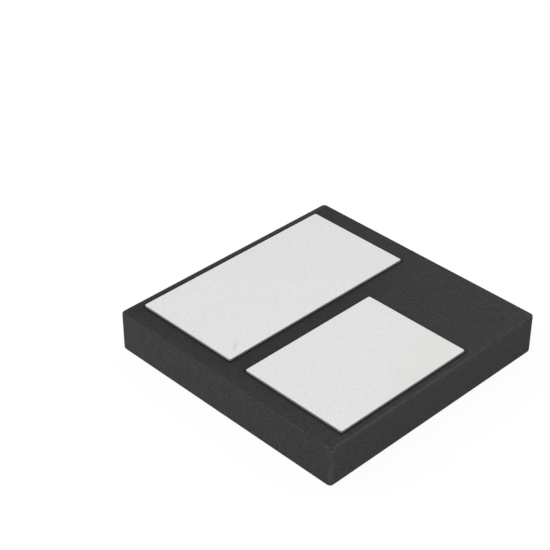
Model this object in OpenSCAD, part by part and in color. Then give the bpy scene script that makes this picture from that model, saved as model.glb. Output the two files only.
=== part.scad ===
// Flat moulded package with two contact lands on one face.
// The plain face lies on Z = 0 and the contacts face up, with the ground contact on the -X side.
// The origin is in the middle of the plain face.

/* [Moulded body] */
// Side of the square moulding
body_side = 6.0; // [5:0.1:8]
// Thickness of the moulding, from its plain face to its contact face
body_h = 0.95; // [0.8:0.01:1.4]
// Radius of the four upright corners
corner_r = 0.10; // [0.09:0.01:0.3]
// Rounding where the sides meet the plain face
plain_edge_r = 0.08; // [0.02:0.01:0.09]
// Rounding where the sides meet the contact face
contact_edge_r = 0.05; // [0.02:0.01:0.08]

/* [Contacts] */
// Bare moulding between the ground contact and the -X side
ground_side_margin = 0.21; // [0.11:0.01:0.5]
// Bare moulding between the data contact and the +X side
data_side_margin = 0.19; // [0.11:0.01:0.5]
// Bare moulding in front of both contacts
front_margin = 0.47; // [0.2:0.01:1]
// Bare moulding behind the ground contact
back_margin = 0.50; // [0.2:0.01:1]
// Space between the two contacts
contact_gap = 0.44; // [0.3:0.01:1.2]
// Length of the data contact
data_contact_l = 3.54; // [2:0.02:4.6]
// Thickness of the tin plating on the bare copper, top and sides
plating_t = 0.015; // [0.005:0.005:0.03]

/* [Leadframe] */
// Thickness of the copper lands
land_t = 0.20; // [0.16:0.01:0.28]
// How far the copper stands proud of the contact face
standoff = 0.03; // [0.01:0.005:0.06]
// Radius of the lands' corners
land_corner_r = 0.03; // [0.01:0.01:0.15]
// Reach of the half-etched ledge that keys each land into the moulding
ledge_w = 0.06; // [0.02:0.01:0.09]
// Thickness of that ledge
ledge_t = 0.10; // [0.04:0.01:0.14]
// Radius of the hollow that the etch leaves between a land and its ledge
etch_r = 0.04; // [0.01:0.01:0.06]

/* [Chip] */
// Size of the chip along X
die_w = 1.40; // [0.8:0.05:1.7]
// Size of the chip along Y
die_l = 1.20; // [0.8:0.05:1.9]
// Thickness of the chip
die_t = 0.20; // [0.1:0.01:0.25]
// Distance from the chip to the ground contact's edge beside the gap
die_setback = 0.30; // [0.15:0.01:0.4]
// Thickness of the glue under the chip
attach_t = 0.02; // [0.01:0.005:0.04]
// How far the glue spreads past the chip
attach_spread = 0.07; // [0.02:0.01:0.12]
// How far the glue climbs the chip's sides, from the land
attach_climb = 0.06; // [0.045:0.005:0.1]
// Side of the chip's two square bond pads
pad_side = 0.09; // [0.08:0.01:0.16]
// Thickness of the bond pads
pad_t = 0.004; // [0.002:0.001:0.008]
// Distance from the middle of a pad to the chip's nearest edge
pad_inset = 0.12; // [0.09:0.01:0.3]

/* [Wire bonds] */
// Diameter of the gold wire
wire_d = 0.025; // [0.018:0.001:0.05]
// Diameter of the ball that is pressed on the pad
ball_d = 0.07; // [0.055:0.005:0.08]
// Height of the ball
ball_h = 0.02; // [0.012:0.002:0.03]
// Height of the loop above the chip's pads
loop_h = 0.13; // [0.09:0.01:0.18]
// Length of the flattened stitch at the wire's other end
stitch_l = 0.07; // [0.05:0.01:0.1]
// Width of the stitch
stitch_w = 0.055; // [0.05:0.005:0.08]
// Thickness of the stitch
stitch_t = 0.008; // [0.006:0.001:0.012]
// Side of the square silver spots that the stitches are pressed on
spot_side = 0.50; // [0.3:0.05:0.6]
// Thickness of the silver spots
spot_t = 0.004; // [0.002:0.001:0.008]
// Distance from a silver spot to the edge beside it
spot_inset = 0.10; // [0.06:0.01:0.2]

/* [Hidden] */

half_side = body_side / 2;
contact_w = (body_side - ground_side_margin - contact_gap - data_side_margin) / 2;

// Plated contacts, seen from above: the low corner and the size of each
front_y = -half_side + front_margin;
ground_at = [-half_side + ground_side_margin, front_y];
ground_size = [contact_w, body_side - front_margin - back_margin];
data_at = [ground_at.x + contact_w + contact_gap, front_y];
data_size = [contact_w, data_contact_l];

// The chip faces the middle of the data contact
die_at = [
    ground_at.x + contact_w - die_setback - die_w,
    data_at.y + data_size.y / 2 - die_l / 2
];
attach_at = die_at - [attach_spread, attach_spread];
attach_size = [die_w, die_l] + 2 * [attach_spread, attach_spread];

// Depths below the contact face, in the order of assembly
land_depth = land_t - standoff;
die_depth = land_depth + attach_t;
pad_depth = die_depth + die_t;
bond_depth = pad_depth + pad_t;
stitch_depth = land_depth + spot_t;

// The etched hollow reaches neither past the ledge nor up to the contact face
hollow_r = min(etch_r, ledge_w, land_depth - ledge_t);

// Middle of each pad and of each silver spot
data_pad_at = [die_at.x + die_w - pad_inset, die_at.y + die_l / 2];
ground_pad_at = [die_at.x + die_w / 2, die_at.y + die_l - pad_inset];
data_spot_at = [data_at.x + spot_inset + spot_side / 2, data_pad_at.y];
ground_spot_at = [
    ground_pad_at.x,
    attach_at.y + attach_size.y + spot_inset + spot_side / 2
];

round_fn = 48;
wire_sides = 8;
loop_steps = 14;

// Turns depths below the contact face into heights in the part's own frame
module below_contact_face() {
    translate([0, 0, body_h])
        mirror([0, 0, 1])
            children();
}

module rounded_rectangle(size, r) {
    translate([r, 0])
        square([size.x - 2 * r, size.y]);
    translate([0, r])
        square([size.x, size.y - 2 * r]);
    for (x = [r, size.x - r], y = [r, size.y - r])
        translate([x, y])
            circle(r, $fn = round_fn);
}

// What rounding takes off a square corner at the origin, with the profile at -X and +Y of it
module edge_rounding(r) {
    difference() {
        translate([-r, 0])
            square(r);
        translate([-r, r])
            circle(r, $fn = round_fn);
    }
}

// A block with one section all the way round: two crossed bars with turned corners.
// The section is drawn by the children, $width wide, with its middle on the Y axis.
module turned_block(size, r) {
    straight = size - 2 * [r, r];
    rotate([90, 0, 0])
        linear_extrude(straight.y, center = true)
            let ($width = size.x)
                children();
    rotate([90, 0, 90])
        linear_extrude(straight.x, center = true)
            let ($width = size.y)
                children();
    for (turn = [0, 90, 180, 270])
        rotate(turn)
            translate((turn % 180 == 0 ? straight : [straight.y, straight.x]) / 2)
                rotate_extrude(angle = 90, $fn = round_fn)
                    intersection() {
                        let ($width = 2 * r)
                            children();
                        square([r, body_h]);
                    }
}

// Section of the moulding, standing on its plain face
module body_profile(width) {
    difference() {
        translate([-width / 2, 0])
            square([width, body_h]);
        for (side = [0, 1])
            mirror([side, 0]) {
                translate([width / 2, 0])
                    edge_rounding(plain_edge_r);
                translate([width / 2, body_h])
                    mirror([0, 1])
                        edge_rounding(contact_edge_r);
            }
    }
}

// The moulding before anything is set into it
module body_blank() {
    turned_block([body_side, body_side], corner_r)
        body_profile($width);
}

// The middle of a rectangle, from its low corner and its size
function middle_of(at, size) = [at.x + size.x / 2, at.y + size.y / 2, 0];

// Section of a land, from its proud face: the land, its ledge and the etch's hollow between them
module land_profile(width) {
    translate([ledge_w - width / 2, 0])
        square([width - 2 * ledge_w, land_t]);
    translate([-width / 2, land_t - ledge_t])
        square([width, ledge_t]);
    for (side = [0, 1])
        mirror([side, 0])
            translate([width / 2 - ledge_w, land_t - ledge_t])
                rotate(180)
                    edge_rounding(hollow_r);
}

// A leadframe land, whose half-etched ledge goes round its inner side
module land(at, size) {
    reach = ledge_w - plating_t;
    below_contact_face()
        translate(middle_of(at, size) - [0, 0, standoff])
            turned_block(size + 2 * [reach, reach], land_corner_r + ledge_w)
                land_profile($width);
}

// Tin on the top and the sides of a proud land
module plating(at, size) {
    translate([at.x, at.y, body_h])
        difference() {
            linear_extrude(standoff + plating_t)
                rounded_rectangle(size, land_corner_r + plating_t);
            translate([plating_t, plating_t, -standoff])
                linear_extrude(2 * standoff)
                    rounded_rectangle(size - 2 * [plating_t, plating_t], land_corner_r);
        }
}

// Section of the glue, from the land: it is squeezed out from under the chip and climbs its sides
module glue_profile(width) {
    if (width > 2 * attach_spread)
        translate([attach_spread - width / 2, 0])
            square([width - 2 * attach_spread, attach_climb]);
    for (side = [0, 1])
        mirror([side, 0])
            translate([width / 2 - attach_spread, 0])
                polygon([[0, 0], [attach_spread, 0], [0, attach_climb]]);
}

// The drop of glue before the chip is pressed into it
module glue_drop() {
    below_contact_face()
        translate(middle_of(attach_at, attach_size) + [0, 0, land_depth])
            turned_block(attach_size, attach_spread)
                glue_profile($width);
}

// A flat square film around a point, from one depth inwards
module film(middle, side, depth, thickness) {
    below_contact_face()
        translate([middle.x - side / 2, middle.y - side / 2, depth])
            cube([side, side, thickness]);
}

function bezier(p, t) =
    pow(1 - t, 3) * p[0] + 3 * t * pow(1 - t, 2) * p[1] + 3 * pow(t, 2) * (1 - t) * p[2] + pow(t, 3) * p[3];

function bezier_angle(p, t) =
    let (d = pow(1 - t, 2) * (p[1] - p[0]) + 2 * t * (1 - t) * (p[2] - p[1]) + pow(t, 2) * (p[3] - p[2]))
    atan2(d.y, d.x);

// Corners of one cross-section of the wire: middle in the XZ plane, direction, half height, half width
function wire_ring(middle, angle, half_h, half_w) = [
    for (k = [0 : wire_sides - 1])
        let (
            a = 360 * (k + 0.5) / wire_sides,
            flat = cos(180 / wire_sides),
            up = half_h * cos(a) / flat,
            across = half_w * sin(a) / flat
        )
        [middle.x - up * sin(angle), across, middle.y + up * cos(angle)]
];

// A bond wire along +X: a pressed ball at the origin, a loop, and a stitch on a face that lies lower by fall
module bond_wire(span, fall) {
    wire_r = wire_d / 2;
    ball_r = ball_d / 2;
    neck = [0, ball_h + wire_r];
    landing = [span - stitch_l / 2, wire_r - fall];
    loop = [neck, [0, 1.3 * loop_h], [0.45 * span, 1.15 * loop_h], landing];
    rings = concat(
        [
            wire_ring([0, 0], 90, 0.85 * ball_r, 0.85 * ball_r),
            wire_ring([0, ball_h / 2], 90, ball_r, ball_r),
            wire_ring([0, ball_h], 90, 0.7 * ball_r, 0.7 * ball_r)
        ],
        [
            for (i = [0 : loop_steps])
                let (t = i / loop_steps)
                wire_ring(bezier(loop, t), bezier_angle(loop, t), wire_r, wire_r)
        ],
        [
            wire_ring([span, stitch_t / 2 - fall], 0, stitch_t / 2, stitch_w / 2),
            wire_ring([span + stitch_l / 2, stitch_t / 2 - fall], 0, stitch_t / 2, stitch_w / 2)
        ]
    );
    n = wire_sides;
    last = len(rings) - 1;
    polyhedron(
        points = [for (ring = rings) each ring],
        faces = concat(
            [[for (k = [0 : n - 1]) k]],
            [[for (k = [n - 1 : -1 : 0]) last * n + k]],
            [
                for (i = [0 : last - 1], k = [0 : n - 1])
                    each [
                        [i * n + k, (i + 1) * n + k, i * n + (k + 1) % n],
                        [i * n + (k + 1) % n, (i + 1) * n + k, (i + 1) * n + (k + 1) % n]
                    ]
            ]
        )
    );
}

module placed_wire(pad_at, spot_at, turn) {
    reach = spot_at - pad_at;
    below_contact_face()
        translate([pad_at.x, pad_at.y, bond_depth])
            rotate(turn)
                bond_wire(norm(reach), bond_depth - stitch_depth);
}

module mould_body() {
    color("#3d3d3f")
        difference() {
            body_blank();
            ground_land();
            data_land();
            glue_drop();
            die();
            data_bond_pad();
            ground_bond_pad();
            data_bond_spot();
            ground_bond_spot();
            data_bond_wire();
            ground_bond_wire();
        }
}

module ground_land() {
    color("#b87850")
        land(ground_at, ground_size);
}

module data_land() {
    color("#b87850")
        land(data_at, data_size);
}

module ground_plating() {
    color("#dfdfdf")
        plating(ground_at, ground_size);
}

module data_plating() {
    color("#dfdfdf")
        plating(data_at, data_size);
}

module die_attach() {
    color("#a8a8ac")
        difference() {
            glue_drop();
            die();
        }
}

module die() {
    color("#5b6270")
        below_contact_face()
            translate([die_at.x, die_at.y, die_depth])
                cube([die_w, die_l, die_t]);
}

module data_bond_pad() {
    color("#d2d4d6")
        film(data_pad_at, pad_side, pad_depth, pad_t);
}

module ground_bond_pad() {
    color("#d2d4d6")
        film(ground_pad_at, pad_side, pad_depth, pad_t);
}

module data_bond_spot() {
    color("#e8e6e0")
        film(data_spot_at, spot_side, land_depth, spot_t);
}

module ground_bond_spot() {
    color("#e8e6e0")
        film(ground_spot_at, spot_side, land_depth, spot_t);
}

module data_bond_wire() {
    color("#e0b040")
        placed_wire(data_pad_at, data_spot_at, 0);
}

module ground_bond_wire() {
    color("#e0b040")
        placed_wire(ground_pad_at, ground_spot_at, 90);
}

mould_body();
ground_land();
data_land();
ground_plating();
data_plating();
die_attach();
die();
data_bond_pad();
ground_bond_pad();
data_bond_spot();
ground_bond_spot();
data_bond_wire();
ground_bond_wire();
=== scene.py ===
"""A flat moulded chip package with two tin-plated contacts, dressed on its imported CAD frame."""
import math
from collections import namedtuple

import bmesh
import bpy
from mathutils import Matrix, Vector


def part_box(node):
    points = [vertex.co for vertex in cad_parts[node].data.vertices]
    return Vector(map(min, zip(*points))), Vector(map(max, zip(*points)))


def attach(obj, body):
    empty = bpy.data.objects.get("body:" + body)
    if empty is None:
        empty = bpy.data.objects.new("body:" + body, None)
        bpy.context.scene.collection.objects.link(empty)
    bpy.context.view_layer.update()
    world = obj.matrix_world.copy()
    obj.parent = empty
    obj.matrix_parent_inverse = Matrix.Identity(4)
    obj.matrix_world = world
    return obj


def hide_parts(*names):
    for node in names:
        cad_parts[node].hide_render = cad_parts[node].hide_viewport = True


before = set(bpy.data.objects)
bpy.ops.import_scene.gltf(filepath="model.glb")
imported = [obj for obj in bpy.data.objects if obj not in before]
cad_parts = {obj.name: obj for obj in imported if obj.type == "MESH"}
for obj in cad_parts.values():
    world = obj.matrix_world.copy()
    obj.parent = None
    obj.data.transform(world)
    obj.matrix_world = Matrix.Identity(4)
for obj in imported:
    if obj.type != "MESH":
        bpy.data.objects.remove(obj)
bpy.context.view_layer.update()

# Copper lands. Both are etched from one strip of rolled copper alloy, from both sides. Where the
# etch stops half-way it leaves a thin ledge round each land, with a hollow at the land's foot, and
# the moulding grips that ledge.
MM = 0.001
CONTACTS = ("ground", "data")
LEDGE_W = 0.06 * MM
LEDGE_T = 0.10 * MM
LAND_CORNER_R = 0.03 * MM
ETCH_R = 0.04 * MM
COPPER = (0.72, 0.36, 0.24)
BRIGHT_COPPER = (0.80, 0.42, 0.29)
TARNISHED_COPPER = (0.62, 0.30, 0.19)
ROLLING_LINE = 0.02 * MM
ROLLING_DEPTH = 0.4e-3 * MM
TARNISH_CLOUD = 0.9 * MM
SAME_PLACE = 1e-4 * MM
# Faces that meet at a smaller angle than this are one round stretch
ROUND_BELOW = math.radians(50)


def block(name, low, high):
    """A new box between two corners, with its place in its mesh."""
    bpy.ops.object.select_all(action="DESELECT")
    bpy.ops.mesh.primitive_cube_add(size=1, location=(low + high) / 2)
    piece = bpy.context.object
    piece.name = piece.data.name = name
    piece.scale = high - low
    bpy.ops.object.transform_apply(location=True, rotation=False, scale=True)
    return piece


def edit(piece):
    """Opens a piece in edit mode."""
    bpy.ops.object.select_all(action="DESELECT")
    bpy.context.view_layer.objects.active = piece
    piece.select_set(True)
    bpy.ops.object.mode_set(mode="EDIT")


def pick_edges(piece, test):
    """Selects the edges whose two ends pass."""
    bpy.ops.mesh.select_all(action="DESELECT")
    bpy.ops.mesh.select_mode(type="EDGE")
    mesh = bmesh.from_edit_mesh(piece.data)
    for edge in mesh.edges:
        edge.select_set(test(*(v.co for v in edge.verts)))
    bmesh.update_edit_mesh(piece.data)


def pick_faces(piece, test):
    """Selects the faces whose normal passes."""
    bpy.ops.mesh.select_all(action="DESELECT")
    bpy.ops.mesh.select_mode(type="FACE")
    mesh = bmesh.from_edit_mesh(piece.data)
    for face in mesh.faces:
        face.select_set(test(face.normal))
    bmesh.update_edit_mesh(piece.data)


def upright(a, b):
    """Whether an edge from a to b stands upright."""
    return (a - b).xy.length < SAME_PLACE


def at_height(z):
    """A test for the edges that lie at one height."""
    return lambda a, b: abs(a.z - z) < SAME_PLACE and abs(b.z - z) < SAME_PLACE


def round_off(piece, test, radius, segments):
    """Rounds the edges that pass."""
    pick_edges(piece, test)
    bpy.ops.mesh.bevel(offset=radius, segments=segments, affect="EDGES")


def draw_out(piece, test, wall, rise):
    """Insets the faces that pass by a wall's thickness, and extrudes what is left of them."""
    pick_faces(piece, test)
    bpy.ops.mesh.inset(thickness=wall, depth=0)
    bpy.ops.mesh.extrude_region_move(TRANSFORM_OT_translate={"value": (0, 0, rise)})


def shaped():
    """Leaves edit mode with every face pointing outwards."""
    bpy.ops.mesh.select_all(action="SELECT")
    bpy.ops.mesh.normals_make_consistent(inside=False)
    bpy.ops.object.mode_set(mode="OBJECT")


def smoothed(piece):
    """Smooths the round stretches of a piece and keeps its flat faces flat."""
    bpy.ops.object.shade_smooth_by_angle(angle=ROUND_BELOW)
    piece.modifiers.new("flat faces stay flat", "WEIGHTED_NORMAL").keep_sharp = True
    bpy.ops.object.modifier_apply(modifier="flat faces stay flat")


def model_land(name, node):
    """A land on its ledge, with the hollow that the etch leaves at its foot."""
    low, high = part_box(node)
    ledge_top = low.z + LEDGE_T
    land = block(name, low, Vector((high.x, high.y, ledge_top)))
    edit(land)
    round_off(land, upright, LAND_CORNER_R + LEDGE_W, segments=8)
    draw_out(land, lambda normal: normal.z > 0.5, LEDGE_W, high.z - ledge_top)
    middle = (low + high) / 2
    reach = (high - low) / 2 - Vector((LEDGE_W, LEDGE_W, 0))

    def within(v):
        out = v - middle
        return abs(out.x) < reach.x + SAME_PLACE and abs(out.y) < reach.y + SAME_PLACE

    def at_foot(a, b):
        return within(a) and within(b) and at_height(ledge_top)(a, b)

    round_off(land, at_foot, ETCH_R, segments=5)
    shaped()
    smoothed(land)
    return land


class Socket:
    """One value in a material's node tree, with the usual operators."""

    def __init__(self, tree, output):
        self.tree, self.output = tree, output

    def maths(self, operation, *values):
        inputs = dict(enumerate(values))
        return add_node(self.tree, "ShaderNodeMath", {"operation": operation}, inputs)

    def __add__(self, other):
        return self.maths("ADD", self, other)

    def __sub__(self, other):
        return self.maths("SUBTRACT", self, other)

    def __rsub__(self, other):
        return self.maths("SUBTRACT", other, self)

    def __mul__(self, other):
        return self.maths("MULTIPLY", self, other)

    def __abs__(self):
        return self.maths("ABSOLUTE", self)

    __radd__ = __add__
    __rmul__ = __mul__

    def at_least(self, other):
        """The larger of the two."""
        return self.maths("MAXIMUM", self, other)

    def at_most(self, other):
        """The smaller of the two."""
        return self.maths("MINIMUM", self, other)

    def between(self, low, high):
        """0 at low, 1 at high, and smooth from one to the other."""
        return add_node(
            self.tree,
            "ShaderNodeMapRange",
            {"interpolation_type": "SMOOTHSTEP"},
            {"Value": self, "From Min": low, "From Max": high},
        )


def add_node(tree, kind, settings=None, inputs=None, output=0):
    """Adds a node, makes its settings and then joins or fills its inputs."""
    node = tree.nodes.new(kind)
    for name, value in (settings or {}).items():
        setattr(node, name, value)
    for name, value in (inputs or {}).items():
        socket = node.inputs[name]
        if isinstance(value, Socket):
            tree.links.new(value.output, socket)
        elif socket.type == "RGBA":
            socket.default_value = (*value, 1)
        else:
            socket.default_value = value
    if isinstance(output, tuple):
        return [Socket(tree, node.outputs[name]) for name in output]
    return Socket(tree, node.outputs[output]) if node.outputs else None


def new_material(name, seen_as):
    """An empty node material and its tree, with the colour that it has in a plain view."""
    material = bpy.data.materials.new(name)
    material.use_nodes = True
    material.diffuse_color = (*seen_as, 1)
    material.node_tree.nodes.clear()
    return material, material.node_tree


def on_piece(tree):
    """The place of the surface on its piece, in metres."""
    return add_node(tree, "ShaderNodeTexCoord", output="Object")


def stretched(tree, place, factors):
    """A place whose pattern is drawn out where a factor is small."""
    return add_node(tree, "ShaderNodeMapping", inputs={"Vector": place, "Scale": factors})


def noise(tree, place, size, detail=2, roughness=0.5):
    """Cloudy noise whose features are about one size across."""
    return add_node(
        tree,
        "ShaderNodeTexNoise",
        inputs={"Vector": place, "Scale": 1 / size, "Detail": detail, "Roughness": roughness},
    )


def mixed(tree, amount, first, second):
    """One colour fading into another. The node's colours are its inputs 6 and 7 and output 2."""
    inputs = {"Factor": amount, 6: first, 7: second}
    return add_node(tree, "ShaderNodeMix", {"data_type": "RGBA"}, inputs, output=2)


def bumped(tree, height, depth):
    """A normal from a height of 0 to 1 that stands for a depth in metres."""
    return add_node(
        tree, "ShaderNodeBump", inputs={"Height": height, "Distance": depth, "Strength": 1.0}
    )


def finished(material, **sockets):
    """Joins a material's shader, where _ stands for the space in a socket's name."""
    tree = material.node_tree
    inputs = {name.replace("_", " "): value for name, value in sockets.items()}
    surface = add_node(tree, "ShaderNodeBsdfPrincipled", inputs=inputs)
    add_node(tree, "ShaderNodeOutputMaterial", inputs={"Surface": surface})
    return material


def rolled_copper():
    material, tree = new_material("rolled_copper", COPPER)
    place = on_piece(tree)
    rolling = noise(tree, stretched(tree, place, (1, 0.06, 1)), ROLLING_LINE, detail=3)
    tarnish = noise(tree, place, TARNISH_CLOUD, detail=4, roughness=0.6).between(0.35, 0.7)
    return finished(
        material,
        Base_Color=mixed(tree, tarnish, BRIGHT_COPPER, TARNISHED_COPPER),
        Metallic=1.0,
        Roughness=0.30 + 0.18 * rolling,
        Normal=bumped(tree, rolling, ROLLING_DEPTH),
    )


def dress(piece, material, record_slot, *nodes):
    """Gives a new piece its material, hangs it from the root and hides the CAD nodes it stands for.
    """
    piece.data.materials.clear()
    piece.data.materials.append(material)
    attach(piece, "root")
    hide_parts(*nodes)


copper = rolled_copper()
lands = []
for side in CONTACTS:
    land = model_land(f"{side}_copper_land", f"{side}_land")
    dress(land, copper, "copper_leadframe", f"{side}_land")
    lands.append(land)

# Silver spots. A square spot of silver is plated on each land where a wire will be bonded, because
# gold bonds well to silver. The spots are flat films, so they keep the frame's own shape.
SILVER = (0.86, 0.85, 0.82)
BRIGHT_SILVER = (0.90, 0.89, 0.86)
DULL_SILVER = (0.82, 0.80, 0.75)
SILVER_CRYSTAL = 0.006 * MM
SILVER_CRYSTAL_DEPTH = 0.4e-3 * MM
SILVER_CLOUD = 0.2 * MM


def matte_silver():
    material, tree = new_material("matte_silver", SILVER)
    place = on_piece(tree)
    crystals = noise(tree, place, SILVER_CRYSTAL, detail=3, roughness=0.7)
    cloud = noise(tree, place, SILVER_CLOUD).between(0.35, 0.7)
    return finished(
        material,
        Base_Color=mixed(tree, cloud, BRIGHT_SILVER, DULL_SILVER),
        Metallic=1.0,
        Roughness=0.35 + 0.20 * crystals,
        Normal=bumped(tree, crystals, SILVER_CRYSTAL_DEPTH),
    )


def finish_node(node, material):
    """Gives a node that keeps its own shape a better material."""
    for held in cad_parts[node].material_slots:
        held.material = material


silver = matte_silver()
for side in CONTACTS:
    finish_node(f"{side}_bond_spot", silver)

# Glue. A drop of epoxy filled with silver flakes holds the chip on the ground land. Pressing the
# chip down spreads the drop past the chip's edges and makes it climb the sides a little, and baking
# hardens it.
GLUE = (0.42, 0.42, 0.43)
FLAKE_GREY = (0.60, 0.60, 0.61)
RESIN_GREY = (0.30, 0.30, 0.31)
FLAKE = 0.008 * MM
FLAKE_DEPTH = 1.5e-3 * MM
RESIN_CLOUD = 0.05 * MM


def silver_glue():
    material, tree = new_material("silver_glue", GLUE)
    place = on_piece(tree)
    lying_flat = stretched(tree, place, (1, 1, 3))
    inputs = {"Vector": lying_flat, "Scale": 1 / FLAKE}
    from_flake = add_node(tree, "ShaderNodeTexVoronoi", inputs=inputs)
    return finished(
        material,
        Base_Color=mixed(tree, from_flake.between(0.2, 0.7), FLAKE_GREY, RESIN_GREY),
        Metallic=from_flake.between(0.8, 0.3) * 0.6,
        Roughness=0.45 + 0.2 * noise(tree, place, RESIN_CLOUD),
        Normal=bumped(tree, from_flake, FLAKE_DEPTH),
    )


finish_node("die_attach", silver_glue())

# Chip and its pads. The chip is a block of silicon, sawn from its wafer, so its sides show the
# saw's fine lines and it has sharp edges. Its two bond pads are squares of bare aluminium film.
SILICON = (0.11, 0.125, 0.16)
BLUE_SILICON = (0.085, 0.10, 0.14)
GREY_SILICON = (0.12, 0.13, 0.15)
SILICON_IOR = 3.5
SAW_LINE = 0.05 * MM
SAW_DEPTH = 0.5e-3 * MM
SHEEN_CLOUD = 0.5 * MM
ALUMINIUM = (0.78, 0.79, 0.8)
BRIGHT_ALUMINIUM = (0.84, 0.85, 0.86)
SCRAPED_ALUMINIUM = (0.70, 0.71, 0.72)
FILM_GRAIN = 0.003 * MM
PROBE_SCRAPE = 0.012 * MM
SCRAPE_DEPTH = 0.3e-3 * MM


def silicon():
    material, tree = new_material("silicon", SILICON)
    place = on_piece(tree)
    saw = noise(tree, stretched(tree, place, (1, 1, 14)), SAW_LINE, detail=3)
    sheen = noise(tree, place, SHEEN_CLOUD, detail=1)
    return finished(
        material,
        Base_Color=mixed(tree, sheen, BLUE_SILICON, GREY_SILICON),
        Metallic=0.35,
        IOR=SILICON_IOR,
        Roughness=0.14 + 0.12 * saw,
        Normal=bumped(tree, saw, SAW_DEPTH),
    )


def aluminium_film():
    material, tree = new_material("aluminium_film", ALUMINIUM)
    place = on_piece(tree)
    grain = noise(tree, place, FILM_GRAIN, detail=3, roughness=0.7)
    scrape = noise(tree, stretched(tree, place, (0.3, 1, 1)), PROBE_SCRAPE)
    return finished(
        material,
        Base_Color=mixed(tree, scrape.between(0.4, 0.7), BRIGHT_ALUMINIUM, SCRAPED_ALUMINIUM),
        Metallic=1.0,
        Roughness=0.28 + 0.22 * grain,
        Normal=bumped(tree, scrape, SCRAPE_DEPTH),
    )


finish_node("die", silicon())
film = aluminium_film()
for side in CONTACTS:
    finish_node(f"{side}_bond_pad", film)

# Gold wires. Each starts as a ball pressed on a pad, runs in a loop and ends in a stitch, pressed
# flat on a silver spot. They are bonded before the package is turned contacts up, so here the loops
# hang below the chip.
WIRE_R = 0.0125 * MM
BALL_R = 0.035 * MM
BALL_H = 0.02 * MM
LOOP_H = 0.13 * MM
STITCH_L = 0.07 * MM
STITCH_W = 0.055 * MM
STITCH_T = 0.008 * MM
WIRE_SIDES = 16
LOOP_STEPS = 20
# The ball's outline: height as a share of its height, and radius as a share of its radius
BALL_OUTLINE = ((0.0, 0.85), (0.22, 0.96), (0.5, 1.0), (0.8, 0.9), (1.0, 0.7), (1.2, 0.5))
# The two handles of the loop's curve: place as a share of the span, and height as a share of LOOP_H
LOOP_HANDLES = ((0.0, 1.3), (0.45, 1.15))
GOLD = (0.92, 0.63, 0.2)
BRIGHT_GOLD = (0.96, 0.68, 0.26)
DEEP_GOLD = (0.86, 0.56, 0.17)
DRAWING_LINE = 0.003 * MM
DRAWING_DEPTH = 0.2e-3 * MM

# One ring of the wire's outline. Its climb is the wire's angle there, in radians
Ring = namedtuple("Ring", "reach height climb half_height half_width")


def loop_rings(span, fall):
    """The wire's rings after the ball, as far as the end of the stitch."""
    start = Vector((0, BALL_H + WIRE_R))
    lift, swing = (Vector((along * span, up * LOOP_H)) for along, up in LOOP_HANDLES)
    end = Vector((span - STITCH_L / 2, WIRE_R - fall))
    for step in range(LOOP_STEPS + 1):
        t = step / LOOP_STEPS
        s = 1 - t
        at = s**3 * start + 3 * t * s**2 * lift + 3 * t**2 * s * swing + t**3 * end
        run = s**2 * (lift - start) + 2 * t * s * (swing - lift) + t**2 * (end - swing)
        yield Ring(at.x, at.y, math.atan2(run.y, run.x), WIRE_R, WIRE_R)
    flat = STITCH_T / 2
    # Just before the stitch, the wire is not yet pressed quite flat
    yield Ring(
        reach=span - STITCH_L / 5,
        height=flat * 1.5 - fall,
        climb=math.radians(-12),
        half_height=flat * 1.6,
        half_width=STITCH_W * 0.42,
    )
    yield Ring(span, flat - fall, 0, flat, STITCH_W / 2)
    yield Ring(span + STITCH_L / 2, flat - fall, 0, flat, STITCH_W / 2)


def model_wire(name, pad, spot):
    """A wire modelled along X from its ball, ring by ring, then turned and set on its pad."""
    ball = [
        Ring(0, BALL_H * up, math.pi / 2, BALL_R * out, BALL_R * out) for up, out in BALL_OUTLINE
    ]
    rings = ball + list(loop_rings((spot - pad).xy.length, spot.z - pad.z))
    half_side = math.pi / WIRE_SIDES
    bpy.ops.object.select_all(action="DESELECT")
    bpy.ops.mesh.primitive_circle_add(
        vertices=WIRE_SIDES,
        radius=rings[0].half_height / math.cos(half_side),
        fill_type="NGON",
        rotation=(0, 0, half_side),
    )
    bpy.ops.object.transform_apply(location=False, rotation=True, scale=False)
    wire = bpy.context.object
    wire.name = wire.data.name = name
    bpy.ops.object.mode_set(mode="EDIT")
    for last, ring in zip(rings, rings[1:]):
        middle = (ring.reach, 0, -ring.height)
        step = (ring.reach - last.reach, 0, last.height - ring.height)
        growth = (1, ring.half_width / last.half_width, ring.half_height / last.half_height)
        bpy.ops.mesh.extrude_region_move(TRANSFORM_OT_translate={"value": step})
        bpy.ops.transform.rotate(value=last.climb, orient_axis="Y", center_override=middle)
        bpy.ops.transform.resize(value=growth, center_override=middle)
        bpy.ops.transform.rotate(value=-ring.climb, orient_axis="Y", center_override=middle)
    shaped()
    wire.rotation_euler.z = math.atan2(spot.y - pad.y, spot.x - pad.x)
    wire.location = pad
    bpy.ops.object.transform_apply(location=True, rotation=True, scale=False)
    smoothed(wire)
    return wire


def drawn_gold():
    material, tree = new_material("drawn_gold", GOLD)
    drawing = noise(tree, stretched(tree, on_piece(tree), (0.15, 1, 1)), DRAWING_LINE)
    return finished(
        material,
        Base_Color=mixed(tree, drawing, BRIGHT_GOLD, DEEP_GOLD),
        Metallic=1.0,
        Roughness=0.16 + 0.14 * drawing,
        Normal=bumped(tree, drawing, DRAWING_DEPTH),
    )


def bonded_face(node):
    """The middle of the face that a wire is bonded to, on the side away from the contacts."""
    low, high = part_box(node)
    return Vector(((low.x + high.x) / 2, (low.y + high.y) / 2, low.z))


gold = drawn_gold()
wires = []
for side in CONTACTS:
    pad, spot = bonded_face(f"{side}_bond_pad"), bonded_face(f"{side}_bond_spot")
    wire = model_wire(f"{side}_gold_wire", pad, spot)
    dress(wire, gold, "gold_wire", f"{side}_bond_wire")
    wires.append(wire)
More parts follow.
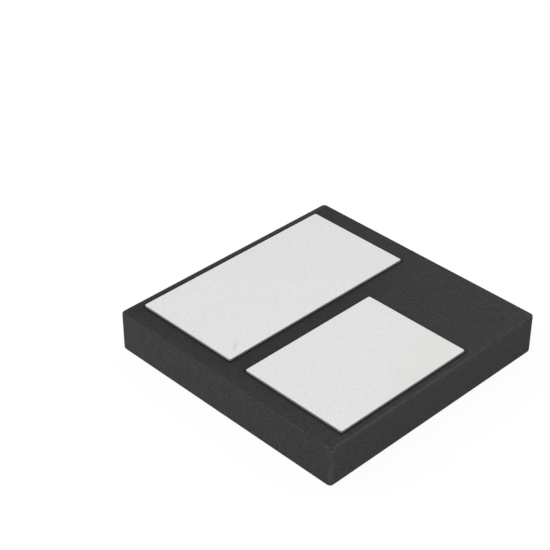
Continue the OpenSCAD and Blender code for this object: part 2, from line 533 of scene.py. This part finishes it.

# Moulding. Everything so far is moulded into a block of black epoxy that is filled with fine
# silica. The mould's spark-eroded faces leave it matte, its edges are rounded and slightly rubbed,
# with painted highlights along them, its tone carries painted light and shade, and the lands'
# proud faces stay bare.
CORNER_R = 0.10 * MM
PLAIN_EDGE_R = 0.08 * MM
CONTACT_EDGE_R = 0.05 * MM
SEALED = (
    "die_attach", "die", "ground_bond_pad", "data_bond_pad", "ground_bond_spot", "data_bond_spot"
)
SAME_POINT = 1e-6 * MM
MOULDING_GREY = (0.03, 0.03, 0.032)
BLACK = (0.0, 0.0, 0.0)
PALEST_EPOXY = (0.05, 0.05, 0.0505)
PIT = 0.06 * MM
SPARK_GRAIN = 0.03 * MM
SPARK_DEPTH = 5.0e-3 * MM
FILLER_GRAIN = 0.04 * MM
MOTTLE = 0.2 * MM
FLOW_CLOUD = 1.6 * MM
RUB_AND_HIGHLIGHT_PATCH = 0.14 * MM
# The grain is set a little to one side, so that no face lies in a plane where its noise fades out
GRAIN_SHIFT = (0.024 * MM,) * 3
# The depths below the contact face at which its own tone, with its painted light and shade, and the
# painted shadow at the lands' feet have ended
FACE_TONE_DEPTH = 0.06 * MM
FOOT_SHADOW_DEPTH = 0.01 * MM
# How far from the lands' feet the painted shadow has ended, and how far it is full
FOOT_SHADOW_REACH = (0.09 * MM, 0.03 * MM)
# Where the contact face's paler stretches and its painted shade between the lands begin, and where
# they are full
GROUND_RIM_X = (-2.87 * MM, -2.93 * MM)
FRONT_X = (1.4 * MM, -0.8 * MM)
FRONT_Y = (-2.80 * MM, -2.95 * MM)
WEB_X = (0.45 * MM, 0.2 * MM)
WEB_FAR_Y = (2.2 * MM, 0.8 * MM)
WEB_NEAR_Y = (-2.8 * MM, -2.4 * MM)
# Where the rub and painted highlight of an edge have ended, and where they are full: the depths
# inside the two faces that meet there, added up
UPRIGHT_RUB_AND_HIGHLIGHT = (0.105 * MM, 0.09 * MM)
CONTACT_RUB_AND_HIGHLIGHT = (0.045 * MM, 0.03 * MM)
PLAIN_RUB_AND_HIGHLIGHT = (0.060 * MM, 0.050 * MM)
# The upright edges' pale line, a painted highlight: how far beside their middle it lies, and how
# far from there it has ended and is full
PALE_LINE_OFF = 0.027 * MM
PALE_LINE_REACH = (0.034 * MM, 0.004 * MM)
# Where their more rubbed and more highlit half begins, beside their middle, and where it is full
RUBBED_AND_HIGHLIT_HALF = (0.03 * MM, 0.0)
# Where the contact face's edges begin to be rubbed and painted with highlight more, and where they
# are so fully: on the left, on the right, and on the right towards the front
LEFT_RUB_AND_HIGHLIGHT_X = (-2.80 * MM, -2.92 * MM)
RIGHT_RUB_AND_HIGHLIGHT_X = (2.80 * MM, 2.92 * MM)
RIGHT_RUB_AND_HIGHLIGHT_Y = (1.2 * MM, -0.6 * MM)
# Where the right wall's rub and painted highlight begin, and where they are full
WALL_RUB_AND_HIGHLIGHT_X = (2.94 * MM, 2.99 * MM)
# The depths below the contact face at which the right wall's rub and painted highlight have ended
# and are full, and at which the rub and painted highlight of the upright edges begin and are full
WALL_RUB_AND_HIGHLIGHT_DEPTH = (0.18 * MM, 0.05 * MM)
UPRIGHT_RUB_AND_HIGHLIGHT_DEPTH = (0.02 * MM, 0.07 * MM)


def along_axes(tree, place):
    """A place's x, y and z."""
    inputs = {"Vector": place}
    return add_node(tree, "ShaderNodeSeparateXYZ", inputs=inputs, output=("X", "Y", "Z"))


def tone_with_painted_light_and_shade(x, y, from_top, flow):
    """The moulding's tone before its grain, from 0, black, to 1, the palest.

    The walls carry painted shade that darkens them towards the far right corner. The contact face
    carries painted light that makes it paler there, is paler along the rim of the ground side and
    at the front, and painted shade makes it darkest in the web between the lands.
    """
    # Painted shade darkens the walls towards the far right corner, and the flow clouds vary them at
    # random
    walls = 0.44 + 0.06 * flow - (0.010 / MM) * (x + y)
    # Painted light makes the contact face paler towards the far right corner
    slope = (0.040 / MM) * x + (0.017 / MM) * y
    rim = x.between(*GROUND_RIM_X) * (0.15 + (0.03 / MM) * y)
    front = y.between(*FRONT_Y) * x.between(*FRONT_X)
    # Painted shade darkens the web between the lands
    painted_web_shade = abs(x).between(*WEB_X) * y.between(*WEB_FAR_Y) * y.between(*WEB_NEAR_Y)
    face = slope + rim + 0.07 * front - 0.085 * painted_web_shade - 0.052
    return walls + face * from_top.between(FACE_TONE_DEPTH, 0.0)


def beside(x, y, node):
    """How far a place is outside a land's proud part, seen from above."""
    low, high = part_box(node)
    middle, reach = (low + high) / 2, (high - low) / 2
    out_x = abs(x - middle.x) - (reach.x - LEDGE_W)
    out_y = abs(y - middle.y) - (reach.y - LEDGE_W)
    return out_x.at_least(out_y)


def painted_foot_shadow(x, y, from_top):
    """A painted shadow: the dark line at the feet of the contacts, where their steps shade the
    moulding.
    """
    nearest = beside(x, y, "ground_land").at_most(beside(x, y, "data_land"))
    return nearest.between(*FOOT_SHADOW_REACH) * from_top.between(FOOT_SHADOW_DEPTH, 0.0)


def rubbed_and_highlit_edges(x, y, z, from_x, from_y, from_top):
    """How far handling has rubbed the edges, and how strong the highlights painted on them are.

    The upright ones have a pale line, a painted highlight, beside their middle. Those of the
    contact face are rubbed and highlit most on the left and on the right, and on the right the pale
    stretch reaches a little way down the wall. Those of the plain face are rubbed and highlit along
    their middle alone.
    """
    lean = from_x - from_y
    line = abs(lean - PALE_LINE_OFF).between(*PALE_LINE_REACH)
    upright_edge = 0.3 + 0.33 * lean.between(*RUBBED_AND_HIGHLIT_HALF) + 0.8 * line
    upright_edge = upright_edge * (from_x + from_y).between(*UPRIGHT_RUB_AND_HIGHLIGHT)
    upright_edge = upright_edge * from_top.between(*UPRIGHT_RUB_AND_HIGHLIGHT_DEPTH)
    inside = from_x.at_most(from_y)
    on_right = x.between(*RIGHT_RUB_AND_HIGHLIGHT_X) * (0.2 + 0.47 * y.between(*RIGHT_RUB_AND_HIGHLIGHT_Y))
    contact_edge = 0.43 + 0.67 * x.between(*LEFT_RUB_AND_HIGHLIGHT_X) + on_right
    contact_edge = contact_edge * (inside + from_top).between(*CONTACT_RUB_AND_HIGHLIGHT)
    right_wall = 0.2 * x.between(*WALL_RUB_AND_HIGHLIGHT_X) * from_top.between(*WALL_RUB_AND_HIGHLIGHT_DEPTH)
    plain_edge = 0.7 * (inside + z).between(*PLAIN_RUB_AND_HIGHLIGHT)
    return upright_edge.at_least(contact_edge).at_least(right_wall).at_least(plain_edge)


def black_epoxy(high):
    """The moulding's material. High is the block's corner with the largest x, y and z."""
    material, tree = new_material("black_epoxy", MOULDING_GREY)
    place = on_piece(tree)
    inputs = {"Vector": place, "Location": GRAIN_SHIFT}
    shifted = add_node(tree, "ShaderNodeMapping", inputs=inputs)
    inputs = {"Vector": shifted, "Scale": 1 / PIT, "Smoothness": 0.5}
    pits = add_node(tree, "ShaderNodeTexVoronoi", {"feature": "SMOOTH_F1"}, inputs)
    grain = noise(tree, shifted, SPARK_GRAIN, roughness=0.6)
    filler = noise(tree, shifted, FILLER_GRAIN, roughness=0.7).between(0.32, 0.68)
    flow = noise(tree, place, FLOW_CLOUD, detail=3)
    x, y, z = along_axes(tree, place)
    from_x, from_y, from_top = high.x - abs(x), high.y - abs(y), high.z - z
    tone = tone_with_painted_light_and_shade(x, y, from_top, flow)
    tone = tone * (0.65 + 0.58 * filler + 0.24 * noise(tree, place, MOTTLE))
    # Painted shadow darkens the moulding at the feet of the contacts
    tone = tone * (1 - 0.62 * painted_foot_shadow(x, y, from_top))
    # The edges are paled partly by wear and partly by painted highlight
    wear_and_highlight = rubbed_and_highlit_edges(x, y, z, from_x, from_y, from_top)
    wear_and_highlight = wear_and_highlight * noise(tree, place, RUB_AND_HIGHLIGHT_PATCH).between(0.15, 0.6)
    return finished(
        material,
        Base_Color=mixed(tree, tone + 0.55 * wear_and_highlight, BLACK, PALEST_EPOXY),
        Roughness=0.56 + 0.26 * grain,
        Specular_IOR_Level=0.18,
        Normal=bumped(tree, 0.6 * pits + 0.6 * grain, SPARK_DEPTH),
    )


def leave_room(piece, solid):
    """Cuts the space of a solid out of a piece that is moulded round it."""
    room = solid.copy()
    room.data = solid.data.copy()
    room.hide_viewport = False
    bpy.context.scene.collection.objects.link(room)
    edit(room)
    bpy.ops.mesh.select_all(action="SELECT")
    bpy.ops.mesh.remove_doubles(threshold=SAME_POINT)
    bpy.ops.object.mode_set(mode="OBJECT")
    bpy.context.view_layer.objects.active = piece
    cut = piece.modifiers.new("room", "BOOLEAN")
    cut.operation = "DIFFERENCE"
    cut.solver = "MANIFOLD"
    cut.object = room
    bpy.ops.object.modifier_apply(modifier="room")
    bpy.data.objects.remove(room)


low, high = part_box("mould_body")
moulding = block("epoxy_moulding", low, high)
edit(moulding)
round_off(moulding, upright, CORNER_R, segments=12)
round_off(moulding, at_height(low.z), PLAIN_EDGE_R, segments=10)
round_off(moulding, at_height(high.z), CONTACT_EDGE_R, segments=8)
shaped()
for solid in (*lands, *(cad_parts[node] for node in SEALED), *wires):
    leave_room(moulding, solid)
bpy.ops.object.select_all(action="DESELECT")
moulding.select_set(True)
smoothed(moulding)
dress(moulding, black_epoxy(high), "moulding_compound", "mould_body")

# Tin plating. Once the package is moulded, matte tin is plated on the bare copper. It covers the
# top and the sides of what stands proud, so each contact is a shallow cap with rounded edges.
PLATING_T = 0.015 * MM
PLATING_EDGE_R = 0.018 * MM
TIN = (0.74, 0.74, 0.745)
# The palest and the greyest patches of the tin, at the near end and, greyed by painted shade, at
# the far end
NEAR_TIN = ((0.781,) * 3, (0.721,) * 3)
FAR_TIN = ((0.759,) * 3, (0.699,) * 3)
# The dark grey painted on the plating's sides as shade
SHADED_SIDE_TIN = (0.19,) * 3
NICKED_TIN = (0.63,) * 3
TARNISHED_TIN = (0.719, 0.709, 0.683)
TIN_CRYSTAL = 0.03 * MM
TIN_CRYSTAL_DEPTH = 2.0e-3 * MM
TIN_PATCH = 0.042 * MM
TIN_CLOUD = 1.8 * MM
# How far below the plating's top the painted shade on its side is full
SIDE_SHADE_DEPTH = 0.009 * MM
# Where the tarnish begins and where it is full, on a slant towards the far right corner, and how
# far the clouds shift it
TARNISH_REACH = (1.8 * MM, 2.9 * MM)
TARNISH_SHIFT = 0.6 * MM
NICK_X, NICK_Y = -0.457 * MM, -2.163 * MM
# The nick's direction: its shares to the right and to the front
NICK_RIGHT, NICK_FORWARD = 0.63, 0.78
# How far from its middle the nick has ended, and how far it is full, along it and across it
NICK_LENGTH = (0.20 * MM, 0.01 * MM)
NICK_WIDTH = (0.045 * MM, 0.01 * MM)


def nick(x, y):
    """The small nick that a probe left near the ground contact's inner corner."""
    dx, dy = x - NICK_X, y - NICK_Y
    along = NICK_RIGHT * dx - NICK_FORWARD * dy
    across = NICK_FORWARD * dx + NICK_RIGHT * dy
    return abs(along).between(*NICK_LENGTH) * abs(across).between(*NICK_WIDTH)


def matte_tin():
    material, tree = new_material("matte_tin", TIN)
    place = on_piece(tree)
    crystals = noise(tree, place, TIN_CRYSTAL, roughness=0.7)
    patches = noise(tree, place, TIN_PATCH, roughness=0.7).between(0.3, 0.7)
    cloud = noise(tree, place, TIN_CLOUD, detail=3)
    x, y, z = along_axes(tree, place)
    # The tin is painted a little greyer towards the far end, as shade, and greyer in random clouds
    greyer = 0.33 + 0.26 * cloud.between(0.3, 0.75) + (0.20 / MM) * y - (0.032 / MM) * x
    colour = mixed(tree, greyer, mixed(tree, patches, *NEAR_TIN), mixed(tree, patches, *FAR_TIN))
    # The data contact's far right end was tarnished a little in store
    tarnish = (x + 0.5 * y + TARNISH_SHIFT * cloud).between(*TARNISH_REACH)
    colour = mixed(tree, 0.5 * tarnish, colour, TARNISHED_TIN)
    colour = mixed(tree, nick(x, y), colour, NICKED_TIN)
    # The sides are painted dark and less metallic, as the shade that falls on them
    side = (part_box("ground_plating")[1].z - z).between(0.0, SIDE_SHADE_DEPTH)
    return finished(
        material,
        Base_Color=mixed(tree, side, colour, SHADED_SIDE_TIN),
        Metallic=0.85 - 0.85 * side,
        Roughness=0.48 + 0.24 * crystals,
        Normal=bumped(tree, crystals, TIN_CRYSTAL_DEPTH),
    )


def model_plating(name, node, land_node):
    """A cap of tin over the part of a land that stands proud, hollow where the land fills it."""
    low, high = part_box(node)
    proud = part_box(land_node)[1].z - low.z
    plating = block(name, low, high)
    edit(plating)
    round_off(plating, upright, LAND_CORNER_R + PLATING_T, segments=8)
    draw_out(plating, lambda normal: normal.z < -0.5, PLATING_T, proud)
    round_off(plating, at_height(high.z), PLATING_EDGE_R, segments=5)
    shaped()
    smoothed(plating)
    return plating


tin = matte_tin()
for side in CONTACTS:
    plating = model_plating(f"{side}_tin_plating", f"{side}_plating", f"{side}_land")
    dress(plating, tin, "matte_tin", f"{side}_plating")

# Floor and light. The package lies on a plain white table in an even white tent. Soft boxes low in
# front and to the right raise the walls, which the tent alone leaves as dark as the contact face,
# and one behind gives the edges their thin shine.
FLOOR_SIDE = 800 * MM
WHITE = (1.0, 1.0, 1.0)
TABLE_WHITE = (0.86, 0.86, 0.86)
TABLE_IN_PLAIN_VIEW = (0.9, 0.9, 0.9)
# The share of the white table that the camera sees as it is, without the shade that falls on it
UNSHADED = 0.94
WORLD_LIGHT = 0.92
LAMP_ELEVATION = 25
LAMP_DISTANCE = 60 * MM
LAMP_SIDE = 45 * MM


def background_rays(tree):
    """1 for the rays that see the background: the camera's, and those in metal and in glass."""
    rays = ("Is Camera Ray", "Is Glossy Ray", "Is Transmission Ray")
    seen, mirrored, through = add_node(tree, "ShaderNodeLightPath", output=rays)
    return seen.at_least(mirrored.at_least(through))


def white_table():
    material, tree = new_material("white_table", TABLE_IN_PLAIN_VIEW)
    table = add_node(tree, "ShaderNodeBsdfDiffuse", inputs={"Color": TABLE_WHITE})
    shaded = add_node(tree, "ShaderNodeBsdfDiffuse", inputs={"Color": (1 - UNSHADED,) * 3})
    glow = add_node(tree, "ShaderNodeEmission", inputs={"Color": WHITE, "Strength": UNSHADED})
    both = add_node(tree, "ShaderNodeAddShader", inputs={0: shaded, 1: glow})
    inputs = {0: background_rays(tree), 1: table, 2: both}
    shown = add_node(tree, "ShaderNodeMixShader", inputs=inputs)
    add_node(tree, "ShaderNodeOutputMaterial", inputs={"Surface": shown})
    return material


bpy.ops.object.select_all(action="DESELECT")
bpy.ops.mesh.primitive_plane_add(size=FLOOR_SIDE, location=(0, 0, 0))
floor = bpy.context.object
floor.name = "table"
floor.data.materials.append(white_table())

world = bpy.data.worlds.new("studio")
bpy.context.scene.world = world
world.use_nodes = True
tree = world.node_tree
tree.nodes.clear()
strength = WORLD_LIGHT + (1 - WORLD_LIGHT) * background_rays(tree)
sky = add_node(tree, "ShaderNodeBackground", inputs={"Color": WHITE, "Strength": strength})
add_node(tree, "ShaderNodeOutputWorld", inputs={"Surface": sky})


def aimed(name, data, aim, azimuth, elevation, distance):
    """Sets up a lamp or the camera. Azimuth 0 is in front of the package and 90 to its right."""
    a, e = math.radians(azimuth), math.radians(elevation)
    away = Vector((math.sin(a) * math.cos(e), -math.cos(a) * math.cos(e), math.sin(e)))
    placed = bpy.data.objects.new(name, data)
    bpy.context.scene.collection.objects.link(placed)
    placed.location = aim + away * distance
    placed.rotation_euler = away.to_track_quat("Z", "Y").to_euler()
    return placed


def softbox(name, azimuth, power, mirrored=True):
    """A square soft light that faces the package."""
    data = bpy.data.lights.new(name, "AREA")
    data.shape = "SQUARE"
    data.size = LAMP_SIDE
    data.energy = power
    lamp = aimed(name, data, Vector((0, 0, 0)), azimuth, LAMP_ELEVATION, LAMP_DISTANCE)
    lamp.visible_glossy = mirrored


# Mirrored in the tin, this one would burn it out to white when seen from behind
softbox("left_front_softbox", azimuth=-45, power=0.0150, mirrored=False)
softbox("right_softbox", azimuth=85, power=0.0014)
softbox("back_softbox", azimuth=180, power=0.0040)

# Camera. The photograph looks down on the package from beyond its front right corner. The place,
# height and lens are those that put the package's corners and its contacts where the photograph has
# them.
CAMERA_AZIMUTH = 45.665
CAMERA_ELEVATION = 34.603
CAMERA_AIM = Vector((-1.7223, 0.1862, 0.9552)) * MM
CAMERA_DISTANCE = 32.719 * MM
CAMERA_LENS = 101.11
CAMERA_SENSOR = 36

data = bpy.data.cameras.new("camera")
data.sensor_width = CAMERA_SENSOR
data.lens = CAMERA_LENS
data.clip_start = 1 * MM
data.clip_end = 2000 * MM
camera = aimed("camera", data, CAMERA_AIM, CAMERA_AZIMUTH, CAMERA_ELEVATION, CAMERA_DISTANCE)
bpy.context.scene.camera = camera
bpy.context.scene.view_settings.view_transform = "Standard"
